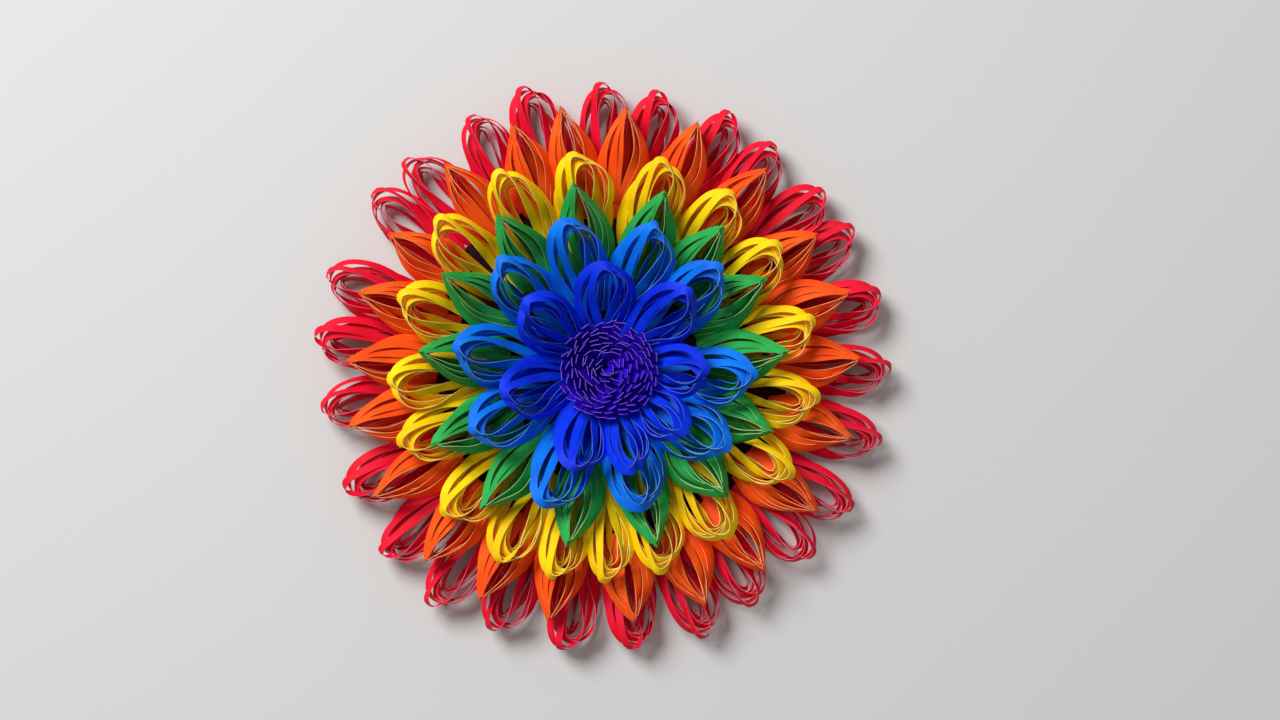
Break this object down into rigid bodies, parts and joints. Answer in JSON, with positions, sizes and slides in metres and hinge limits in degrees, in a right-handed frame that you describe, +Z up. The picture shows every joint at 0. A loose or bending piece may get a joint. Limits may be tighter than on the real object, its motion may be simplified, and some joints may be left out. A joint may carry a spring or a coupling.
{
  "type": "paper flower",
  "caption": "Layered rainbow paper flower of looped strip petals round a fringed centre on a round card, for display or wall decoration.",
  "frame": {"origin": "middle of the backing disc's underside", "axes": "+Z up out of the flower's face, +Y towards the top of the flower as pictured, +X to its right"},
  "size_m": [0.3454, 0.3414, 0.0621],
  "materials": {
    "backing_card": "matt deep red card",
    "violet_paper": "matt violet craft paper",
    "royal_paper": "matt royal blue craft paper",
    "azure_paper": "matt azure blue craft paper",
    "green_paper": "matt green craft paper",
    "yellow_paper": "matt yellow craft paper",
    "orange_paper": "matt orange craft paper",
    "red_paper": "matt red craft paper"
  },
  "bodies": {
    "root": {"backing_disc": "backing_card", "fringed_centre": "violet_paper", "royal_petal_1": "royal_paper", "royal_petal_2": "royal_paper", "royal_petal_3": "royal_paper", "royal_petal_4": "royal_paper", "royal_petal_5": "royal_paper", "royal_petal_6": "royal_paper", "royal_petal_7": "royal_paper", "royal_petal_8": "royal_paper", "azure_petal_1": "azure_paper", "azure_petal_2": "azure_paper", "azure_petal_3": "azure_paper", "azure_petal_4": "azure_paper", "azure_petal_5": "azure_paper", "azure_petal_6": "azure_paper", "azure_petal_7": "azure_paper", "azure_petal_8": "azure_paper", "azure_petal_9": "azure_paper", "azure_petal_10": "azure_paper", "green_petal_1": "green_paper", "green_petal_2": "green_paper", "green_petal_3": "green_paper", "green_petal_4": "green_paper", "green_petal_5": "green_paper", "green_petal_6": "green_paper", "green_petal_7": "green_paper", "green_petal_8": "green_paper", "green_petal_9": "green_paper", "green_petal_10": "green_paper", "green_petal_11": "green_paper", "green_petal_12": "green_paper", "green_petal_13": "green_paper", "green_petal_14": "green_paper", "yellow_petals_1": "yellow_paper", "yellow_petals_2": "yellow_paper", "yellow_petals_3": "yellow_paper", "yellow_petals_4": "yellow_paper", "yellow_petals_5": "yellow_paper", "yellow_petals_6": "yellow_paper", "yellow_petals_7": "yellow_paper", "yellow_petals_8": "yellow_paper", "yellow_petals_9": "yellow_paper", "orange_petals_1": "orange_paper", "orange_petals_2": "orange_paper", "orange_petals_3": "orange_paper", "orange_petals_4": "orange_paper", "orange_petals_5": "orange_paper", "orange_petals_6": "orange_paper", "orange_petals_7": "orange_paper", "orange_petals_8": "orange_paper", "red_petals_1": "red_paper", "red_petals_2": "red_paper", "red_petals_3": "red_paper", "red_petals_4": "red_paper", "red_petals_5": "red_paper", "red_petals_6": "red_paper", "red_petals_7": "red_paper", "red_petals_8": "red_paper", "red_petals_9": "red_paper"}
  },
  "joints": []
}
